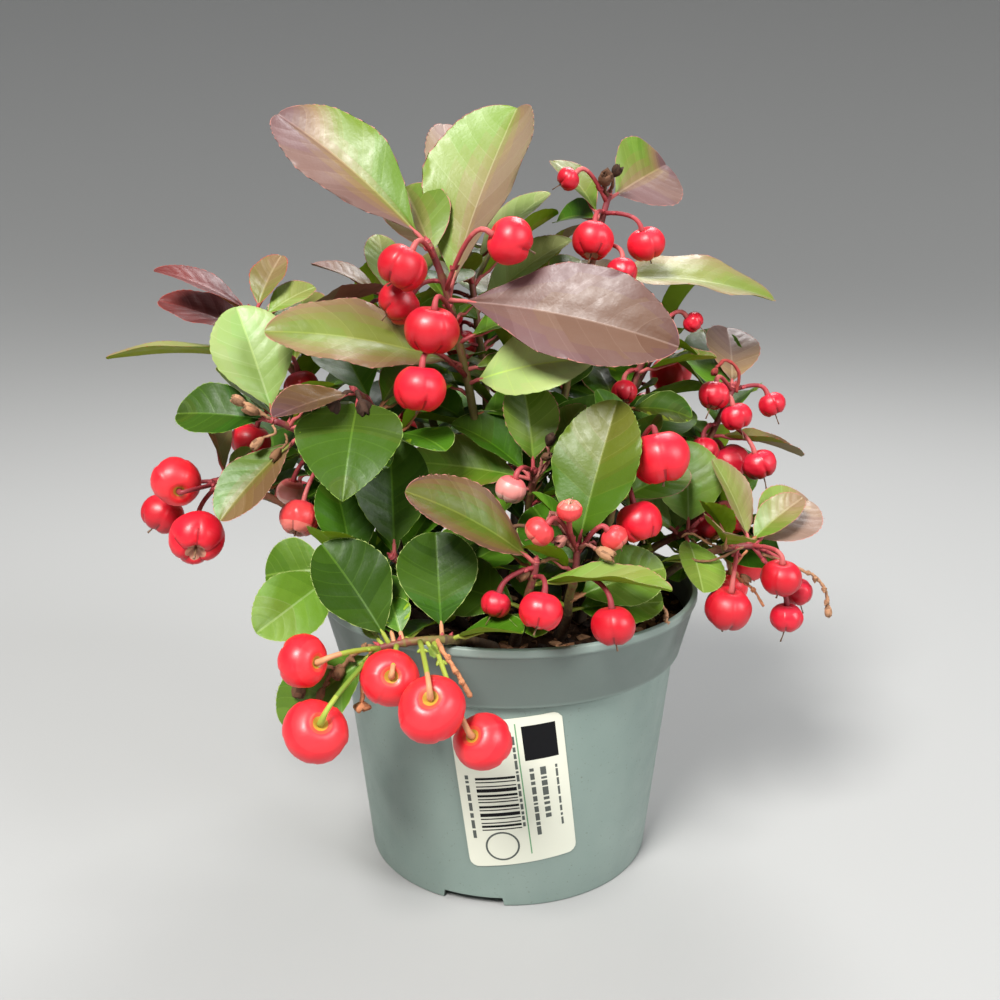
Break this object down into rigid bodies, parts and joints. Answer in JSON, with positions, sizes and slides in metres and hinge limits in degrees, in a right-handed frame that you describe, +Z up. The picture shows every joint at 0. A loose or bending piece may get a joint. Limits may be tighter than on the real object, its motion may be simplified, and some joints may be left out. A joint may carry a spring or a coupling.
{
  "type": "potted wintergreen plant",
  "caption": "Small berried evergreen wintergreen plant in a round tapered nursery pot with a collared rim and a plain label.",
  "frame": {"origin": "centre of the pot's flat underside, on the ground", "axes": "+Z up, +X to the right and -Y towards the viewer who faces the label"},
  "size_m": [0.1913, 0.1631, 0.2022],
  "materials": {
    "pot_plastic": "matt grey-green moulded plastic",
    "compost_dark": "dark chipped bark compost",
    "label_paper": "cream printed sticker, satin",
    "stem_bark": "thin reddish-brown bark",
    "leaf_green": "glossy leathery leaves, green to bronze and purple, with shiny red berries"
  },
  "bodies": {
    "root": {"compost": "compost_dark", "label": "label_paper", "leaves_back_left_low": "leaf_green", "leaves_back_left_top": "leaf_green", "leaves_back_mid_left": "leaf_green", "leaves_back_mid_right": "leaf_green", "leaves_back_right_low": "leaf_green", "leaves_back_right_top": "leaf_green", "leaves_back_top": "leaf_green", "leaves_centre": "leaf_green", "leaves_front_left_inner": "leaf_green", "leaves_front_left_low": "leaf_green", "leaves_front_low": "leaf_green", "leaves_front_mid": "leaf_green", "leaves_left_back": "leaf_green", "leaves_left_front": "leaf_green", "leaves_left_low": "leaf_green", "leaves_left_mid": "leaf_green", "leaves_left_top": "leaf_green", "leaves_middle": "leaf_green", "leaves_over_rim": "leaf_green", "leaves_right_back": "leaf_green", "leaves_right_front": "leaf_green", "leaves_right_inner": "leaf_green", "leaves_right_low": "leaf_green", "leaves_right_mid": "leaf_green", "leaves_right_side_low": "leaf_green", "leaves_right_top": "leaf_green", "leaves_top_back": "leaf_green", "leaves_top_front": "leaf_green", "pot": "pot_plastic", "stem_back_left_low": "stem_bark", "stem_back_left_top": "stem_bark", "stem_back_mid_left": "stem_bark", "stem_back_mid_right": "stem_bark", "stem_back_right_low": "stem_bark", "stem_back_right_top": "stem_bark", "stem_back_top": "stem_bark", "stem_centre": "stem_bark", "stem_front_left_inner": "stem_bark", "stem_front_left_low": "stem_bark", "stem_front_low": "stem_bark", "stem_front_mid": "stem_bark", "stem_left_back": "stem_bark", "stem_left_front": "stem_bark", "stem_left_low": "stem_bark", "stem_left_mid": "stem_bark", "stem_left_top": "stem_bark", "stem_middle": "stem_bark", "stem_over_rim": "stem_bark", "stem_right_back": "stem_bark", "stem_right_front": "stem_bark", "stem_right_inner": "stem_bark", "stem_right_low": "stem_bark", "stem_right_mid": "stem_bark", "stem_right_side_low": "stem_bark", "stem_right_top": "stem_bark", "stem_top_back": "stem_bark", "stem_top_front": "stem_bark"}
  },
  "joints": []
}
